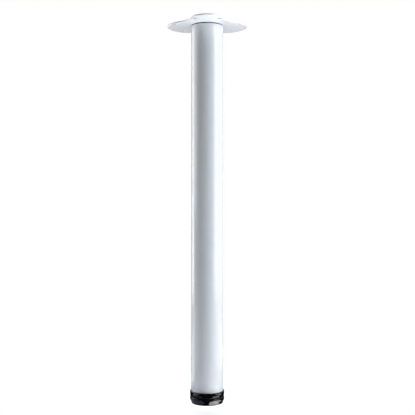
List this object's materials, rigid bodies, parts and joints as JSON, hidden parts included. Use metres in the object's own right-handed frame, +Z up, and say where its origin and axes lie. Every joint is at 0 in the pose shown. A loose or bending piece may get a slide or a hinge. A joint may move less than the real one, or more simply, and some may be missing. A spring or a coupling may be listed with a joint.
{
  "type": "height adjustable table leg",
  "caption": "Round steel table leg with a three-lobed mounting plate on top and a black foot that screws in and out to set the height.",
  "frame": {"origin": "centre of the sole's underside, on the floor, with the foot screwed in", "axes": "+Z up the leg towards the table top; the front lobe of the mounting plate points along -Y"},
  "size_m": [0.1506, 0.1409, 0.71],
  "materials": {
    "white_tube": "white satin powder coat",
    "white_plate": "white satin powder coat",
    "black_gloss": "black moulded plastic, glossy",
    "black_plug": "black moulded plastic",
    "zinc_steel": "zinc plated steel"
  },
  "bodies": {
    "leg": {"mounting_plate": "white_plate", "plate_bush": "zinc_steel", "top_plug": "black_plug", "plain_washer": "zinc_steel", "spring_washer": "zinc_steel", "leg_bolt": "zinc_steel", "tube": "white_tube", "end_plug": "black_gloss", "spindle_nut": "zinc_steel"},
    "sole": {"sole": "black_gloss"},
    "foot": {"foot": "black_gloss", "spindle": "zinc_steel", "stop_clip": "zinc_steel"}
  },
  "joints": [
    {"name": "foot_travel", "type": "slide", "parent": "leg", "child": "sole", "axis": [0, 0, -1], "range_m": [0, 0.02]},
    {"name": "foot_turn", "type": "hinge", "parent": "sole", "child": "foot", "pos_m": [0, 0, 0.004], "axis": [0, 0, -1], "range_deg": [0, 4800]}
  ],
  "couplings": [
    {"joint": "foot_travel", "follows": "foot_turn", "m_per_rad": 0.0002387}
  ]
}
